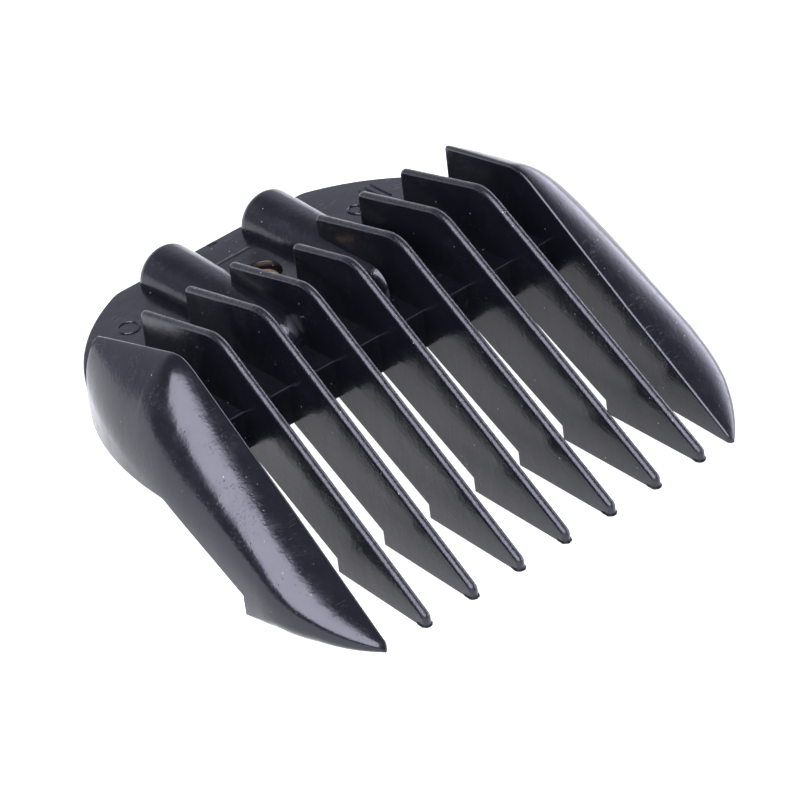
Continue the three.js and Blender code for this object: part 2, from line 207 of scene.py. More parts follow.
def crest_line(f):
    """Top outline with its rounded bend."""
    along = f - (BEND_FORWARD - BEND_REACH)
    if along <= 0:
        return top_line(f)
    if along >= 2 * BEND_REACH:
        return skin_line(f)
    return top_line(f) - (TOP_RISE + SKIN_FALL) * along ** 2 / (4 * BEND_REACH)


def tooth_x(index, f):
    return index * (TOOTH_PITCH + math.tan(math.radians(FAN_STEP)) * f)


def along_fin(f, rear, bend, front):
    """Value at f of a quantity given at a fin's rear, at the bend and from FIN_STRAIGHT on."""
    if f < BEND_FORWARD:
        return rear + (bend - rear) * (f - FIN_REAR) / (BEND_FORWARD - FIN_REAR)
    share = min((f - BEND_FORWARD) / (FIN_STRAIGHT - BEND_FORWARD), 1)
    return bend + (front - bend) * share


def fin_fullness(f):
    """Fullness of a fin's cross-section, averaged over a few millimetres so that its side has no crease."""
    near = [along_fin(f + step, FIN_ROUND_REAR, FIN_ROUND_BEND, FIN_ROUND_FRONT) for step in spread(-4, 4, 8)]
    return sum(near) / len(near)


def fin_inner_x(f):
    return tooth_x((TOOTH_COUNT + 1) / 2, f) - FIN_OFFSET + along_fin(f, FIN_SPLAY_REAR, 0, FIN_SPLAY_FRONT)


# ---- small geometry helpers ----


def spread(start, end, steps):
    return [start + (end - start) * i / steps for i in range(steps + 1)]


def arc(centre, radius, start, end, steps):
    """Points on an arc between two angles in degrees."""
    turns = [math.radians(a) for a in spread(start, end, steps)]
    return [(centre[0] + radius * math.cos(a), centre[1] + radius * math.sin(a)) for a in turns]


def resample(points, spacing):
    """The same path with no step longer than spacing."""
    path = [points[0]]
    for a, b in zip(points, points[1:]):
        steps = max(1, math.ceil(math.dist(a, b) / spacing))
        path += [tuple(p + (q - p) * i / steps for p, q in zip(a, b)) for i in range(1, steps + 1)]
    return path


def path_normals(path):
    """Unit normals to the left of a flat path."""
    normals = []
    for i in range(len(path)):
        a = path[max(i - 1, 0)]
        b = path[min(i + 1, len(path) - 1)]
        length = math.dist(a, b)
        normals.append((-(b[1] - a[1]) / length, (b[0] - a[0]) / length))
    return normals


def add_ring(bm, points):
    return [bm.verts.new(p) for p in points]


def bridge(bm, ring_a, ring_b, closed=True):
    count = len(ring_a)
    for i in range(count if closed else count - 1):
        j = (i + 1) % count
        bm.faces.new((ring_a[i], ring_a[j], ring_b[j], ring_b[i]))


def loft(bm, rings):
    """A closed body through rings with the same number of points."""
    made = [add_ring(bm, ring) for ring in rings]
    for a, b in zip(made, made[1:]):
        bridge(bm, a, b)
    bm.faces.new(made[0])
    bm.faces.new(made[-1])
    return made


def lathe(bm, profile, segments):
    """A closed body from (radius, height) points that start and end on the z axis."""
    turns = [2 * math.pi * k / segments for k in range(segments)]
    low = bm.verts.new((0, 0, profile[0][1]))
    high = bm.verts.new((0, 0, profile[-1][1]))
    rings = []
    for radius, height in profile[1:-1]:
        rings.append(add_ring(bm, [(radius * math.cos(t), radius * math.sin(t), height) for t in turns]))
    for a, b in zip(rings, rings[1:]):
        bridge(bm, a, b)
    for ring, pole in ((rings[0], low), (rings[-1], high)):
        for k in range(segments):
            bm.faces.new((pole, ring[k], ring[(k + 1) % segments]))


def to_mesh(bm, name, sharp=38):
    bmesh.ops.recalc_face_normals(bm, faces=bm.faces)
    limit = math.radians(sharp)
    for face in bm.faces:
        face.smooth = True
    for edge in bm.edges:
        edge.smooth = edge.is_manifold and edge.calc_face_angle(0) < limit
    mesh = bpy.data.meshes.new(name)
    bm.to_mesh(mesh)
    bm.free()
    return mesh


def add_object(name, mesh, material):
    thing = bpy.data.objects.new(name, mesh)
    bpy.context.scene.collection.objects.link(thing)
    mesh.materials.clear()
    mesh.materials.append(material)
    return thing


def add_piece(name, mesh, material, nodes, body="comb"):
    """Puts a mesh drawn in the comb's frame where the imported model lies, in place of its CAD nodes."""
    mesh.transform(COMB)
    piece = add_object(name, mesh, material)
    if body:
        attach(piece, body)
    if nodes:
        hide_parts(*nodes)
    return piece


def cut(mesh, *cutters):
    """Takes closed meshes away from a mesh."""
    body = bpy.data.objects.new("cut_body", mesh)
    bpy.context.scene.collection.objects.link(body)
    tools = []
    for cutter in cutters:
        tool = bpy.data.objects.new("cut_tool", cutter)
        bpy.context.scene.collection.objects.link(tool)
        tools.append(tool)
        step = body.modifiers.new("cut", "BOOLEAN")
        step.operation = "DIFFERENCE"
        step.solver = "EXACT"
        step.object = tool
    shown = body.evaluated_get(bpy.context.evaluated_depsgraph_get())
    result = bpy.data.meshes.new_from_object(shown)
    for thing in [body, *tools]:
        bpy.data.objects.remove(thing)
    bm = bmesh.new()
    bm.from_mesh(result)
    bmesh.ops.remove_doubles(bm, verts=bm.verts, dist=0.0005)
    return to_mesh(bm, mesh.name)


# ---- materials ----


def node_group(name):
    material = bpy.data.materials.new(name)
    material.use_nodes = True
    nodes = material.node_tree.nodes
    nodes.clear()
    output = nodes.new("ShaderNodeOutputMaterial")
    shader = nodes.new("ShaderNodeBsdfPrincipled")
    material.node_tree.links.new(shader.outputs[0], output.inputs[0])
    return material, nodes, material.node_tree.links, shader


def millimetres(nodes, links, scale=(1, 1, 1), turn=(0, 0, 0)):
    """Object coordinates in millimetres, stretched and turned."""
    where = nodes.new("ShaderNodeTexCoord")
    mapping = nodes.new("ShaderNodeMapping")
    mapping.inputs["Scale"].default_value = [s / MM for s in scale]
    mapping.inputs["Rotation"].default_value = [math.radians(t) for t in turn]
    links.new(where.outputs["Object"], mapping.inputs["Vector"])
    return mapping.outputs["Vector"]


def noise_node(nodes, links, vector, scale, detail=2.0, roughness=0.5):
    texture = nodes.new("ShaderNodeTexNoise")
    texture.inputs["Scale"].default_value = scale
    texture.inputs["Detail"].default_value = detail
    texture.inputs["Roughness"].default_value = roughness
    links.new(vector, texture.inputs["Vector"])
    return texture.outputs["Fac"]


def ramp(nodes, links, value, low, high, low_out=0.0, high_out=1.0):
    remap = nodes.new("ShaderNodeMapRange")
    remap.inputs["From Min"].default_value = low
    remap.inputs["From Max"].default_value = high
    remap.inputs["To Min"].default_value = low_out
    remap.inputs["To Max"].default_value = high_out
    links.new(value, remap.inputs["Value"])
    return remap.outputs["Result"]


def math_node(nodes, links, operation, a, b):
    step = nodes.new("ShaderNodeMath")
    step.operation = operation
    for socket, value in zip(step.inputs, (a, b)):
        if isinstance(value, (int, float)):
            socket.default_value = value
        else:
            links.new(value, socket)
    return step.outputs[0]


def colour_between(nodes, links, value, dark, light):
    blend = nodes.new("ShaderNodeMix")
    blend.data_type = "RGBA"
    blend.inputs["A"].default_value = (*dark, 1)
    blend.inputs["B"].default_value = (*light, 1)
    links.new(value, blend.inputs["Factor"])
    return blend.outputs["Result"]


def bump(nodes, links, height, distance, previous=None, strength=1.0):
    node = nodes.new("ShaderNodeBump")
    node.inputs["Strength"].default_value = strength
    node.inputs["Distance"].default_value = distance * MM
    links.new(height, node.inputs["Height"])
    if previous is not None:
        links.new(previous, node.inputs["Normal"])
    return node.outputs["Normal"]


def scratches(nodes, links, turn, seed_shift):
    """Fine long marks in one direction: a stretched noise of which only the crests are kept."""
    vector = millimetres(nodes, links, (0.35, 9.0, 9.0), turn)
    shifted = nodes.new("ShaderNodeVectorMath")
    shifted.inputs[1].default_value = (seed_shift, seed_shift, 0)
    links.new(vector, shifted.inputs[0])
    lines = noise_node(nodes, links, shifted.outputs[0], 1.0, 1.0)
    patches = noise_node(nodes, links, millimetres(nodes, links), 0.36, 1.0)
    kept = ramp(nodes, links, patches, 0.5, 0.62)
    crests = ramp(nodes, links, lines, 0.70, 0.80)
    return math_node(nodes, links, "MULTIPLY", crests, kept)


def cell_distance(nodes, links, vector, scale):
    """Distance to the nearest of many scattered points."""
    cells = nodes.new("ShaderNodeTexVoronoi")
    cells.inputs["Scale"].default_value = scale
    links.new(vector, cells.inputs["Vector"])
    return cells.outputs["Distance"]


def plastic_colour(nodes, links, plain):
    """Near black, a little uneven, with scattered specks of dust."""
    tint = noise_node(nodes, links, plain, 0.22, 2.0)
    colour = colour_between(nodes, links, tint, (0.0022, 0.0025, 0.0036), (0.0040, 0.0044, 0.0062))
    specks = ramp(nodes, links, cell_distance(nodes, links, plain, 0.62), 0.030, 0.050, 1.0, 0.0)
    blend = nodes.new("ShaderNodeMix")
    blend.data_type = "RGBA"
    blend.inputs["B"].default_value = (0.16, 0.16, 0.17, 1)
    links.new(colour, blend.inputs["A"])
    links.new(specks, blend.inputs["Factor"])
    return blend.outputs["Result"]


def plastic_roughness(nodes, links, plain, crest):
    """Smeared and grainy, and duller along the teeth's crests."""
    smears = ramp(nodes, links, noise_node(nodes, links, plain, 0.55, 4.0, 0.6), 0.38, 0.70, 0.13, 0.24)
    grains = ramp(nodes, links, noise_node(nodes, links, plain, 9.0, 2.0), 0.45, 0.75, 0.0, 0.06)
    duller = math_node(nodes, links, "MULTIPLY", crest, 0.09)
    finish = math_node(nodes, links, "ADD", smears, grains)
    return math_node(nodes, links, "ADD", finish, duller)


def plastic_relief(nodes, links, plain, crest):
    """Flow marks, ripples, pits, a fine unevenness along the crests, and scratches in three directions."""
    flow = noise_node(nodes, links, millimetres(nodes, links, (1, 1, 0.45)), 0.42, 2.0)
    normal = bump(nodes, links, flow, 0.045)
    ripple = noise_node(nodes, links, plain, 2.6, 3.0, 0.62)
    normal = bump(nodes, links, ripple, 0.016, normal)
    pits = ramp(nodes, links, cell_distance(nodes, links, plain, 1.3), 0.05, 0.15)
    normal = bump(nodes, links, pits, 0.012, normal)
    knurl = noise_node(nodes, links, plain, 4.2, 3.0, 0.65)
    normal = bump(nodes, links, math_node(nodes, links, "MULTIPLY", knurl, crest), 0.05, normal)
    for turn, shift in (((0, 0, 25), 3.1), ((0, 0, -48), 17.7), ((35, 0, 80), 41.9)):
        normal = bump(nodes, links, scratches(nodes, links, turn, shift), -0.022, normal)
    return normal


def plastic_material():
    """Glossy black moulded plastic."""
    material, nodes, links, shader = node_group("black_moulded_plastic")
    plain = millimetres(nodes, links)
    attribute = nodes.new("ShaderNodeAttribute")
    attribute.attribute_name = "crest"
    crest = attribute.outputs["Fac"]
    shader.inputs["IOR"].default_value = 1.46
    shader.inputs["Specular Tint"].default_value = (0.975, 0.98, 1.05, 1)
    links.new(plastic_colour(nodes, links, plain), shader.inputs["Base Color"])
    links.new(plastic_roughness(nodes, links, plain, crest), shader.inputs["Roughness"])
    links.new(plastic_relief(nodes, links, plain, crest), shader.inputs["Normal"])
    return material


def steel_material():
    """Rolled spring steel: bright, with fine lines along the strip."""
    material, nodes, links, shader = node_group("rolled_spring_steel")
    shader.inputs["Metallic"].default_value = 1.0
    lines = noise_node(nodes, links, millimetres(nodes, links, (14, 0.5, 0.5)), 1.0, 3.0)
    colour = colour_between(nodes, links, lines, (0.42, 0.42, 0.43), (0.63, 0.63, 0.64))
    links.new(colour, shader.inputs["Base Color"])
    stains = noise_node(nodes, links, millimetres(nodes, links), 0.7, 4.0)
    links.new(ramp(nodes, links, stains, 0.3, 0.7, 0.20, 0.38), shader.inputs["Roughness"])
    links.new(bump(nodes, links, lines, 0.006), shader.inputs["Normal"])
    return material


def rivet_material():
    """Coppery alloy with a rough, freshly upset surface."""
    material, nodes, links, shader = node_group("copper_alloy")
    shader.inputs["Metallic"].default_value = 1.0
    plain = millimetres(nodes, links)
    specks = noise_node(nodes, links, plain, 5.0, 4.0, 0.7)
    colour = colour_between(nodes, links, ramp(nodes, links, specks, 0.30, 0.56),
                            (0.22, 0.11, 0.05), (1.0, 0.66, 0.36))
    links.new(colour, shader.inputs["Base Color"])
    links.new(ramp(nodes, links, specks, 0.3, 0.7, 0.5, 0.24), shader.inputs["Roughness"])
    links.new(bump(nodes, links, specks, 0.12), shader.inputs["Normal"])
    return material


# ---- base plate ----

def outline_half_width(f, inset=0.0):
    """Half width of the plate's rounded outline, ahead of its straight rear edge."""
    along = (OUTLINE_CENTRE - f) / (OUTLINE_LENGTH - inset)
    return (OUTLINE_HALF_WIDTH - inset) * (1 - along ** OUTLINE_POWER) ** (1 / OUTLINE_POWER)


def rounded_corner(a, b, c, radius, steps):
    """The corner at b of the path a-b-c, turned into a curve that starts and ends on its sides."""
    to_a = (Vector(a) - Vector(b)).normalized()
    to_c = (Vector(c) - Vector(b)).normalized()
    reach = radius / math.tan(to_a.angle(to_c) / 2)
    start, end = Vector(b) + to_a * reach, Vector(b) + to_c * reach
    return [tuple(start.lerp(Vector(b), t).lerp(Vector(b).lerp(end, t), t)) for t in spread(0, 1, steps)]


def plate_outline(inset):
    """The plate's outline as (x, forward), from the front left corner round the rear to the front right."""
    rear = PLATE_REAR + inset
    shoulder = FIN_REAR + 0.02
    start = rear + REAR_CORNER / 10
    curve = [(outline_half_width(f, inset), f) for f in spread(start, shoulder, 48)]
    corner = rounded_corner((0, rear), (outline_half_width(rear, inset), rear), curve[0], REAR_CORNER, 8)
    inner = PLATE_LAP - inset
    step = [(fin_inner_x(f) + inner, f) for f in (shoulder, BEND_FORWARD)]
    step.append((fin_inner_x(PLATE_FRONT) + inner, PLATE_FRONT - inset))
    right = corner + curve + step
    left = [(-x, f) for x, f in right]
    return left[::-1] + right


def plate_ring(inset, height):
    return [(x, -f, height) for x, f in plate_outline(inset)]


def plate_mesh():
    """A tray that opens downwards, with a small rounding along its upper edge."""
    rounding = spread(math.pi / 2, 0, 6)
    rings = [plate_ring(PLATE_EDGE * (1 - math.cos(t)) + SHRINK, PLATE_EDGE * (math.sin(t) - 1))
             for t in rounding]
    rings += [plate_ring(SHRINK, 0.08 - PLATE_DEPTH), plate_ring(0.08, -PLATE_DEPTH)]
    rings += [plate_ring(RIM, -PLATE_DEPTH), plate_ring(RIM + 0.15, -PLATE_WALL)]
    bm = bmesh.new()
    loft(bm, rings)
    return to_mesh(bm, "plate")


def slot_cutter(side):
    """Opens a dome's hollow to the underside."""
    half = DOME_FRONT_RADIUS - DOME_WALL
    nose = arc((0, DOME_NOSE), half, 0, 180, 24)
    outline = [*nose, (-half, PLATE_REAR + RIM), (half, PLATE_REAR + RIM)]
    bm = bmesh.new()
    loft(bm, [[(side * DOME_X + x, -f, h) for x, f in outline] for h in (-PLATE_DEPTH - 1, 0.5)])
    return to_mesh(bm, "slot")


def hole_cutter():
    """Counterbore with a small rounded mouth, and the hole for the rivet's shank under it."""
    edge = MOUTH_EDGE
    mouth = [(HOLE_RADIUS + edge - edge * math.sin(t), edge * (math.cos(t) - 1))
             for t in spread(0, math.pi / 2, 4)]
    profile = [(0, 1.0), (HOLE_RADIUS + edge, 1.0), *mouth, (HOLE_RADIUS, -HOLE_DEPTH),
               (SHANK_RADIUS + 0.1, -HOLE_DEPTH), (SHANK_RADIUS + 0.1, -PLATE_DEPTH), (0, -PLATE_DEPTH)]
    bm = bmesh.new()
    lathe(bm, profile, 64)
    return to_mesh(bm, "hole")


# ---- domes ----


def half_round(profile, segments, name):
    """A closed body turned about the comb's length, from (radius, forward) points."""
    bm = bmesh.new()
    lathe(bm, profile, segments)
    bm.transform(Matrix.Rotation(math.pi / 2, 4, "X"))
    return to_mesh(bm, name)


def dome_mesh(side):
    """A half-round boss with a ball nose and a rounded rear edge, hollow from below."""
    edge = arc((DOME_REAR_RADIUS - DOME_EDGE, DOME_REAR + DOME_EDGE), DOME_EDGE, 0, -90, 14)
    start = (DOME_FRONT_RADIUS, DOME_NOSE)
    body = [(start[0] + (edge[0][0] - start[0]) * t, start[1] + (edge[0][1] - start[1]) * t)
            for t in spread(0, 1, 12)[1:-1]]
    nose = arc((0, DOME_NOSE), DOME_FRONT_RADIUS, 90, 0, 18)
    solid = half_round([*nose, *body, *edge, (0, DOME_REAR)], 96, "dome")
    inner = DOME_FRONT_RADIUS - DOME_WALL
    hollow_rear = PLATE_REAR + RIM
    hollow = arc((0, DOME_NOSE), inner, 90, 0, 12)
    hollow += [(DOME_REAR_RADIUS - DOME_WALL, hollow_rear), (0, hollow_rear)]
    hollow_mesh = half_round(hollow, 64, "hollow")
    bm = bmesh.new()
    bmesh.ops.create_cube(bm, size=40)
    bm.transform(Matrix.Translation((0, 0, -SINK - 20)))
    below = to_mesh(bm, "below")
    mesh = cut(solid, hollow_mesh, below)
    mesh.transform(Matrix.Translation((side * DOME_X, 0, 0)))
    return mesh


# ---- teeth ----


def tooth_crest(rear):
    """Points (forward, height) up a tooth's rear edge, along its crest and down round its tip."""
    corner_f = rear + TOOTH_CORNER
    corner_h = top_line(corner_f) - TOOTH_CORNER / math.cos(math.radians(TOP_ANGLE))
    corner = arc((corner_f, corner_h), TOOTH_CORNER, 180, 90 + TOP_ANGLE, 10)
    bend = [(f, crest_line(f)) for f in spread(BEND_FORWARD - BEND_REACH, BEND_FORWARD + BEND_REACH, 16)]
    tip_f = TIP_FORWARD - TIP_RADIUS
    tip_h = skin_line(tip_f) - TIP_RADIUS / math.cos(math.radians(SKIN_ANGLE))
    tip = arc((tip_f, tip_h), TIP_RADIUS, 90 - SKIN_ANGLE, 0, 10)
    return resample([(rear, -SINK), *corner, *bend, *tip, (TIP_FORWARD, foot_line(TIP_FORWARD))], 0.3)


def tooth_foot(rear):
    """Points from the tip back along the foot, up the stop, along the seat and into the plate."""
    inside = PLATE_FRONT - FOOT_SINK
    return [
        (STOP_FORWARD, foot_line(STOP_FORWARD)),
        (STOP_FORWARD, seat_line(STOP_FORWARD)),
        (PLATE_FRONT, -PLATE_DEPTH),
        (inside, 0.2 - PLATE_DEPTH),
        (inside, -SINK),
    ]


def flash_lip(bm, layer, shake):
    """A thin ragged lip of flash round the foot of a tip."""
    half = TOOTH_THICKNESS / 2
    reach = FLASH_REACH
    front = arc((0, TIP_FORWARD - half), half + reach, 0, 180, 16)
    back = TIP_FORWARD - 1.5
    plan = [(half - 0.05, back), (half + reach * 0.7, back + 0.5), *front,
            (-half - reach * 0.7, back + 0.5), (-half + 0.05, back)]
    plan = [(x + shake.uniform(-0.03, 0.03), f + shake.uniform(-0.04, 0.02)) for x, f in plan]
    rings = []
    for grow, rise in ((-0.10, 0.0), (0.0, 0.03), (0.0, 0.13), (-0.12, 0.2)):
        ring = []
        for x, f in plan:
            centre = max(back, min(f, TIP_FORWARD - half))
            away = math.hypot(x, f - centre) or 1
            scale = (away + grow) / away
            ring.append((x * scale, -(centre + (f - centre) * scale), foot_line(f) + rise))
        rings.append(ring)
    for ring in loft(bm, rings):
        for vert in ring:
            vert[layer] = 0.5


def crest_rings(bm, layer, index, crest):
    """The rounded crest as rings across the tooth's thickness, a little uneven along its length."""
    half = TOOTH_THICKNESS / 2
    normals = path_normals(crest)
    normals[-1] = (1.0, 0.0)
    turns = spread(-math.pi / 2, math.pi / 2, BEAD_STEPS)
    rings = []
    for (f, h), (nf, nh) in zip(crest, normals):
        wobble = 0.010 * noise.noise(Vector((1.3 * f, 5.1 * index, 1.3 * h))) - 0.012
        ring = []
        for t in turns:
            out = half * (math.cos(t) - 1) + wobble * math.cos(t)
            ring.append((half * math.sin(t), -(f + nf * out), h + nh * out))
        made = add_ring(bm, ring)
        for vert, t in zip(made, turns):
            vert[layer] = math.cos(t)
        rings.append(made)
    return rings


def tooth_mesh(index):
    """One tooth with its lip of flash. The middle tooth is number 0, and starts ahead of the rivet."""
    rear = MIDDLE_TOOTH_REAR if index == 0 else TOOTH_REAR
    half = TOOTH_THICKNESS / 2
    bm = bmesh.new()
    layer = bm.verts.layers.float.new("crest")
    rings = crest_rings(bm, layer, index, tooth_crest(rear))
    for a, b in zip(rings, rings[1:]):
        bridge(bm, a, b, closed=False)
    bm.faces.new(rings[0])
    bm.faces.new(rings[-1])
    foot = tooth_foot(rear)
    sides = []
    for side, place in ((-half, 0), (half, -1)):
        lower = add_ring(bm, [(side, -f, h) for f, h in foot])
        upper = [ring[place] for ring in rings]
        bm.faces.new(upper + lower)
        sides.append([upper[-1], *lower, upper[0]])
    bridge(bm, sides[0], sides[1], closed=False)
    flash_lip(bm, layer, random.Random(100 + index))
    bm.transform(Matrix.Translation((tooth_x(index, 0), 0, 0))
                 @ Matrix.Rotation(math.radians(FAN_STEP) * index, 4, "Z"))
    return to_mesh(bm, "tooth")


# ---- side fins ----


def fin_side_x(f):
    return OUTLINE_HALF_WIDTH - FIN_TAPER * (f - OUTLINE_CENTRE) - SHRINK


def fin_outer_x(f):
    """A fin's side carries on the plate's round outline, then runs nearly straight and closes in a nose."""
    if f < OUTLINE_CENTRE:
        return outline_half_width(f) - SHRINK
    if f < FIN_NOSE_START:
        return fin_side_x(f)
    along = (f - FIN_NOSE_START) / (FIN_TIP - FIN_NOSE_START)
    bulge = fin_side_x(FIN_NOSE_START) - fin_inner_x(FIN_NOSE_START) - FIN_TIP_RADIUS
    return fin_inner_x(f) + FIN_TIP_RADIUS + bulge * (1 - along ** 2) ** FIN_NOSE_POWER


def fin_foot(f):
    return foot_line(FIN_STOP) - FIN_FOOT_FALL * (f - FIN_STOP)


def fin_shoulder(f, room):
    """Height where a fin's rounded side becomes upright, with room for the rounded foot below it."""
    ends = FIN_STOP - FIN_BLEND_BEHIND
    start = FIN_STOP + FIN_BLEND_AHEAD
    if f < PLATE_FRONT:
        return -PLATE_DEPTH * (f - FIN_REAR) / (PLATE_FRONT - FIN_REAR)
    if f < ends:
        return seat_line(f)
    if f > start:
        return fin_foot(f) + room
    share = (f - ends) / (start - ends)
    return seat_line(ends) + (fin_foot(start) + FIN_FOOT_EDGE - seat_line(ends)) * share


def fin_bottom(f, before_step):
    if f < PLATE_FRONT:
        return -PLATE_DEPTH
    return seat_line(f) if before_step else fin_foot(f)


def bead(inner, end, edge):
    """Points from a fin's inner face up over its crest to the first point of its side."""
    low = Vector((inner, end[1] - edge))
    top = Vector((inner, end[1] + edge * 0.12))
    return [tuple(low.lerp(top, t).lerp(top.lerp(Vector(end), t), t)) for t in spread(0, 1, 8)]


def foot_rounding(outer, bottom, edge):
    """Points round a fin's outer foot. Every ring has the same number of them."""
    if not edge:
        return [(outer, bottom + 0.004 * k) for k in (4, 3, 2, 1, 0)]
    return arc((outer - edge, bottom + edge), edge, -10, -90, 4)


def fin_ring(f, side, before_step, inset=0.0):
    """One cross-section of a fin. inset draws the part above the plate in, for the rounded rear edge."""
    nose = min(max(1 - (FIN_TIP - f) / FIN_TIP_RADIUS, 0), 1)
    turned = 1 - math.sqrt(1 - nose ** 2)
    inner = fin_inner_x(f) + FIN_TIP_RADIUS * turned
    outer = fin_outer_x(f)
    width = outer - inner
    crest = crest_line(f) - FIN_FALL * max(f - BEND_FORWARD, 0) - FIN_TIP_DROP * turned
    power = 2 / fin_fullness(f)
    bottom = fin_bottom(f, before_step)
    room = min(FIN_FOOT_EDGE, width / 2, (crest - bottom) / 2.5)
    foot_edge = 0 if before_step else min(room, FIN_FOOT_EDGE * (0.1 + (f - FIN_STOP) / 4))
    shoulder = max(fin_shoulder(f, room), bottom + foot_edge + 0.002)
    edge = min(FIN_BEAD, width / 3, (crest - bottom) / 3)
    points = [(inner, bottom)]
    start = math.asin((edge / width) ** (1 / power))
    flank = []
    for t in spread(start, math.pi / 2, 36):
        rise = max(math.cos(t), 0) ** power
        flank.append((inner + width * math.sin(t) ** power, shoulder + (crest - shoulder) * rise))
    points += bead(inner, flank[0], edge)
    points += flank[1:]
    points += foot_rounding(outer, bottom, foot_edge)
    middle = (inner + outer) / 2
    drawn = []
    for x, h in points:
        if inset and h > 0.05:
            x += inset if x < middle else -inset
            h -= inset if h > crest - 1.5 else 0
        drawn.append((side * x, -f, h))
    return drawn


def fin_stations():
    """Forward positions of a fin's cross-sections: close at the bend and at the nose."""
    rear = spread(FIN_REAR + FIN_EDGE, BEND_FORWARD - 2, 24)
    bend = spread(BEND_FORWARD - 2, BEND_FORWARD + 2, 20)[1:]
    to_step = spread(BEND_FORWARD + 2, FIN_STOP, 24)[1:]
    nose = spread(FIN_STOP, FIN_TIP - FIN_TIP_RADIUS, 36)
    tip = [FIN_TIP - FIN_TIP_RADIUS * (1 - math.sin(t)) for t in spread(0, math.radians(80), 8)[1:]]
    return rear + bend + to_step, nose + tip


def fin_mesh(side):
    before, after = fin_stations()
    rings = []
    for t in spread(0, math.pi / 2, 4)[:-1]:
        back = FIN_EDGE * (1 - math.sin(t))
        rings.append(fin_ring(FIN_REAR + FIN_EDGE * (1 - math.cos(t)), side, True, back))
    rings += [fin_ring(f, side, True) for f in before]
    rings += [fin_ring(f, side, False) for f in after]
    bm = bmesh.new()
    loft(bm, rings)
    return to_mesh(bm, "fin", 30)


# ---- raised marks ----


def raised_line(bm, points, width, height, closed=False):
    """A low rounded ridge along a flat path, sunk a little into the plate's top."""
    count = len(points)
    section = [(-0.5, -0.3), (-0.42, 0.55), (-0.2, 0.95), (0.2, 0.95), (0.42, 0.55), (0.5, -0.3)]
    rings = []
    for i, (x, f) in enumerate(points):
        a = points[(i - 1) % count] if closed or i else points[i]
        b = points[(i + 1) % count] if closed or i < count - 1 else points[i]
        length = math.dist(a, b)
        across = ((b[1] - a[1]) / length, -(b[0] - a[0]) / length)
        rings.append([(x + across[0] * s * width, -f - across[1] * s * width, h * height)
                      for s, h in section])
    made = [add_ring(bm, ring) for ring in rings]
    for a, b in zip(made, made[1:] + (made[:1] if closed else [])):
        bridge(bm, a, b)
    if not closed:
        bm.faces.new(made[0])
        bm.faces.new(made[-1])


def marks_mesh():
    """A plain ring on the left, a plain size mark on the right, a step line and the moulding gate's mark."""
    bm = bmesh.new()
    raised_line(bm, arc((-14.7, -2.35), 1.03, 0, 360, 48)[:-1], 0.2, 0.12, closed=True)
    six_bowl = arc((12.9, -1.6), 0.75, 0, 360, 32)[:-1]
    raised_line(bm, six_bowl, 0.24, 0.13, closed=True)
    raised_line(bm, arc((14.15, -1.85), 2.0, 172, 118, 12), 0.24, 0.13)
    for k in range(3):
        raised_line(bm, [(15.4 + 0.75 * k, -3.9), (15.4 + 0.75 * k, -0.9)], 0.24, 0.13)
    raised_line(bm, [(-2.9, -4.4), (2.9, -4.4)], 0.5, 0.035)
    raised_line(bm, [(-0.45, -7.8), (0.45, -7.8)], 0.5, 0.06)
    return to_mesh(bm, "marks")


# ---- rivet and spring clip ----


def rivet_mesh():
    head_foot = -HOLE_DEPTH - 0.02
    tail_top = STRIP_FOOT + 0.02
    profile = [
        (0, tail_top - RIVET_TAIL_HEIGHT),
        *arc((RIVET_TAIL_RADIUS - 0.25, tail_top - RIVET_TAIL_HEIGHT + 0.25), 0.25, -90, 0, 6),
        (RIVET_TAIL_RADIUS, tail_top),
        (SHANK_RADIUS, tail_top),
        (SHANK_RADIUS, head_foot),
        (RIVET_HEAD_RADIUS, head_foot),
        *arc((RIVET_HEAD_RADIUS - 0.3, RIVET_HEAD_TOP - 0.4), 0.3, 0, 80, 8),
        (RIVET_HEAD_RADIUS * 0.45, RIVET_HEAD_TOP - 0.03),
        (0, RIVET_HEAD_TOP),
    ]
    bm = bmesh.new()
    lathe(bm, profile, 64)
    return to_mesh(bm, "rivet")


def clip_centreline():
    """The strip's middle line in side view, from its front end round the bend to the hook's end."""
    half = CLIP_THICKNESS / 2
    level = STRIP_FOOT + half
    bend = BEND_RADIUS
    foot = half - CLIP_REACH
    hook = HOOK_RADIUS
    return [
        *[(f, level) for f in spread(CLIP_FRONT, CLIP_BEND + bend, 20)],
        *arc((CLIP_BEND + bend, level - bend), bend, 90, 180, 10)[1:],
        *[(CLIP_BEND, h) for h in spread(level - bend, foot + hook, 14)][1:],
        *arc((CLIP_BEND + hook, foot + hook), hook, 180, 270, 8)[1:],
        (CLIP_BEND + half + HOOK_LENGTH - 0.1, foot),
    ]


def clip_mesh():
    """One strip of spring steel with rounded edges, narrowed at its front end."""
    path = clip_centreline()
    normals = path_normals(path)
    half = CLIP_THICKNESS / 2
    rounding = STRIP_EDGE
    rings = []
    for (f, h), (nf, nh) in zip(path, normals):
        wide = CLIP_WIDTH / 2 - max(0.0, f - CLIP_FRONT + 1) * 0.9
        ring = []
        for sx, sn, start in ((1, 1, 0), (-1, 1, 90), (-1, -1, 180), (1, -1, 270)):
            centre = (sx * (wide - rounding), sn * (half - rounding))
            for x, n in arc(centre, rounding, start, start + 90, 3):
                ring.append((x, -(f + nf * n), h + nh * n))
        rings.append(ring)
    bm = bmesh.new()
    loft(bm, rings)
    return to_mesh(bm, "clip")


# ---- assembly ----


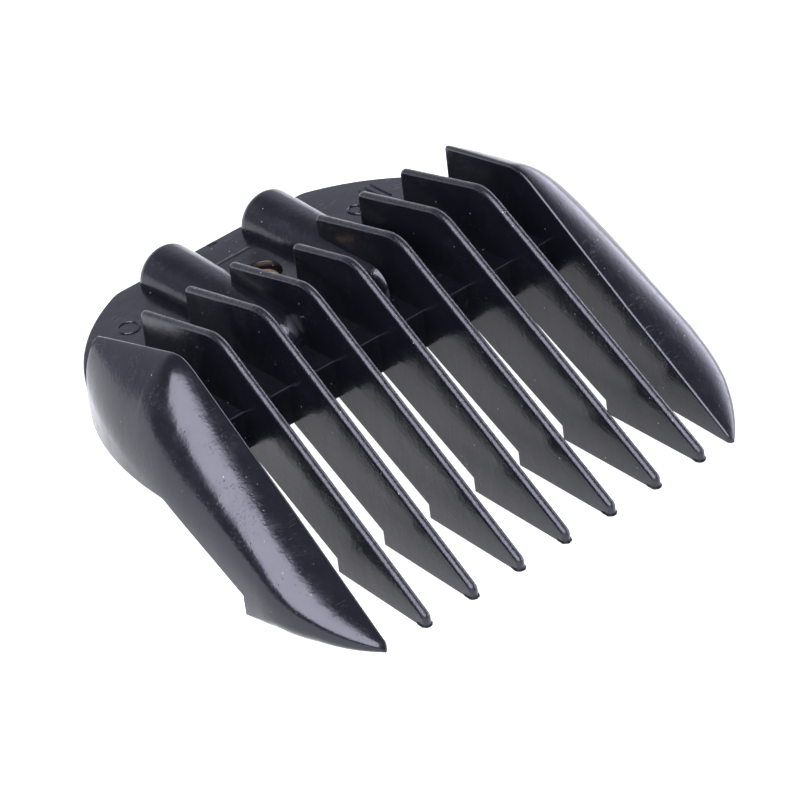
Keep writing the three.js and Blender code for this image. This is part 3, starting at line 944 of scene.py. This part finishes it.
def build_comb():
    plastic = plastic_material()
    plate = cut(plate_mesh(), hole_cutter(), slot_cutter(-1), slot_cutter(1))
    add_piece("plate_moulded", plate, plastic, ["base_plate"])
    add_piece("moulded_marks", marks_mesh(), plastic, [])
    for name, side in (("left", -1), ("right", 1)):
        add_piece(f"dome_{name}_moulded", dome_mesh(side), plastic, [f"screw_dome_{name}"])
        add_piece(f"fin_{name}_moulded", fin_mesh(side), plastic, [f"side_fin_{name}"])
    for number in range(1, TOOTH_COUNT + 1):
        mesh = tooth_mesh(number - (TOOTH_COUNT + 1) // 2)
        add_piece(f"tooth_{number}_moulded", mesh, plastic, [f"tooth_{number}"])


def build_clip():
    add_piece("rivet_upset", rivet_mesh(), rivet_material(), ["clip_rivet"])
    strip = add_piece("spring_clip", clip_mesh(), steel_material(),
                      ["clip_base", "clip_arm"], body=None)
    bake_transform(strip)


# ---- stage, light and camera ----


def white_surface():
    """A white sheet that also glows a little, so that it stays white and almost free of shadows."""
    material, _, _, shader = node_group("white_surface")
    shader.inputs["Base Color"].default_value = (FLOOR_GREY, FLOOR_GREY, FLOOR_GREY, 1)
    shader.inputs["Roughness"].default_value = 0.9
    shader.inputs["Emission Color"].default_value = (1, 1, 1, 1)
    shader.inputs["Emission Strength"].default_value = FLOOR_GLOW
    return material


def build_floor():
    bm = bmesh.new()
    bmesh.ops.create_grid(bm, x_segments=8, y_segments=8, size=FLOOR_HALF_SIZE)
    floor = add_object("white_floor", to_mesh(bm, "floor"), white_surface())


def towards(nodes, links, direction, aim):
    """How far a direction points the way that aim does."""
    product = nodes.new("ShaderNodeVectorMath")
    product.operation = "DOT_PRODUCT"
    product.inputs[1].default_value = aim
    links.new(direction, product.inputs[0])
    return product.outputs["Value"]


def build_world():
    """A dim studio, with a pale wall along the rear and a bright low window on the right."""
    world = bpy.data.worlds.new("studio")
    world.use_nodes = True
    nodes, links = world.node_tree.nodes, world.node_tree.links
    direction = nodes.new("ShaderNodeTexCoord").outputs["Generated"]
    parts = nodes.new("ShaderNodeSeparateXYZ")
    links.new(direction, parts.inputs[0])
    height = parts.outputs["Z"]
    wall = ramp(nodes, links, towards(nodes, links, direction, (0.55, 0.83, 0)), -0.10, 0.50,
                WALL_FRONT, WALL_REAR)
    low = ramp(nodes, links, height, 0.42, 0.62, 1.0, 0.0)
    glow = math_node(nodes, links, "ADD", math_node(nodes, links, "MULTIPLY", wall, low), CEILING)
    window = ramp(nodes, links, towards(nodes, links, direction, (0.97, -0.24, 0)), 0.55, 0.90, 0.0, WINDOW)
    fading = ramp(nodes, links, height, 0.0, 0.74, 1.0, 0.0)
    glow = math_node(nodes, links, "ADD", glow, math_node(nodes, links, "MULTIPLY", window, fading))
    background = nodes["Background"]
    background.inputs["Color"].default_value = (*STUDIO_COLOUR, 1)
    links.new(glow, background.inputs["Strength"])
    bpy.context.scene.world = world


def build_softbox():
    """An area light that faces the comb. Azimuth 0 is in front of the tips, and 90 is to the left."""
    azimuth, elevation = math.radians(SOFTBOX_AZIMUTH), math.radians(SOFTBOX_ELEVATION)
    out = Vector((-math.sin(azimuth) * math.cos(elevation),
                  -math.cos(azimuth) * math.cos(elevation), math.sin(elevation)))
    data = bpy.data.lights.new("left_softbox", "AREA")
    data.shape = "RECTANGLE"
    data.size, data.size_y = SOFTBOX_SIZE
    data.energy = SOFTBOX_POWER
    data.color = SOFTBOX_COLOUR
    light = bpy.data.objects.new("left_softbox", data)
    light.location = Vector(SOFTBOX_AIM) + out * SOFTBOX_DISTANCE
    light.rotation_mode = "QUATERNION"
    light.rotation_quaternion = (-out).to_track_quat("-Z", "Y")
    bpy.context.scene.collection.objects.link(light)


def build_camera():
    """A long lens above the front left."""
    azimuth, elevation = math.radians(CAMERA_AZIMUTH), math.radians(CAMERA_ELEVATION)
    back = Vector((math.sin(azimuth) * math.cos(elevation),
                   -math.cos(azimuth) * math.cos(elevation), math.sin(elevation)))
    data = bpy.data.cameras.new("camera")
    data.lens = CAMERA_LENS
    data.sensor_width = CAMERA_SENSOR
    data.clip_start, data.clip_end = 0.01, 10
    camera = bpy.data.objects.new("camera", data)
    hole = COMB @ Vector((0, 0, 0))
    camera.location = Vector(CAMERA_FROM_HOLE) + hole
    camera.rotation_mode = "QUATERNION"
    camera.rotation_quaternion = (-back).to_track_quat("-Z", "Y")
    bpy.context.scene.collection.objects.link(camera)
    bpy.context.scene.camera = camera


build_camera()
build_comb()
build_clip()
build_floor()
build_world()
build_softbox()
bpy.context.scene.view_settings.view_transform = "Standard"
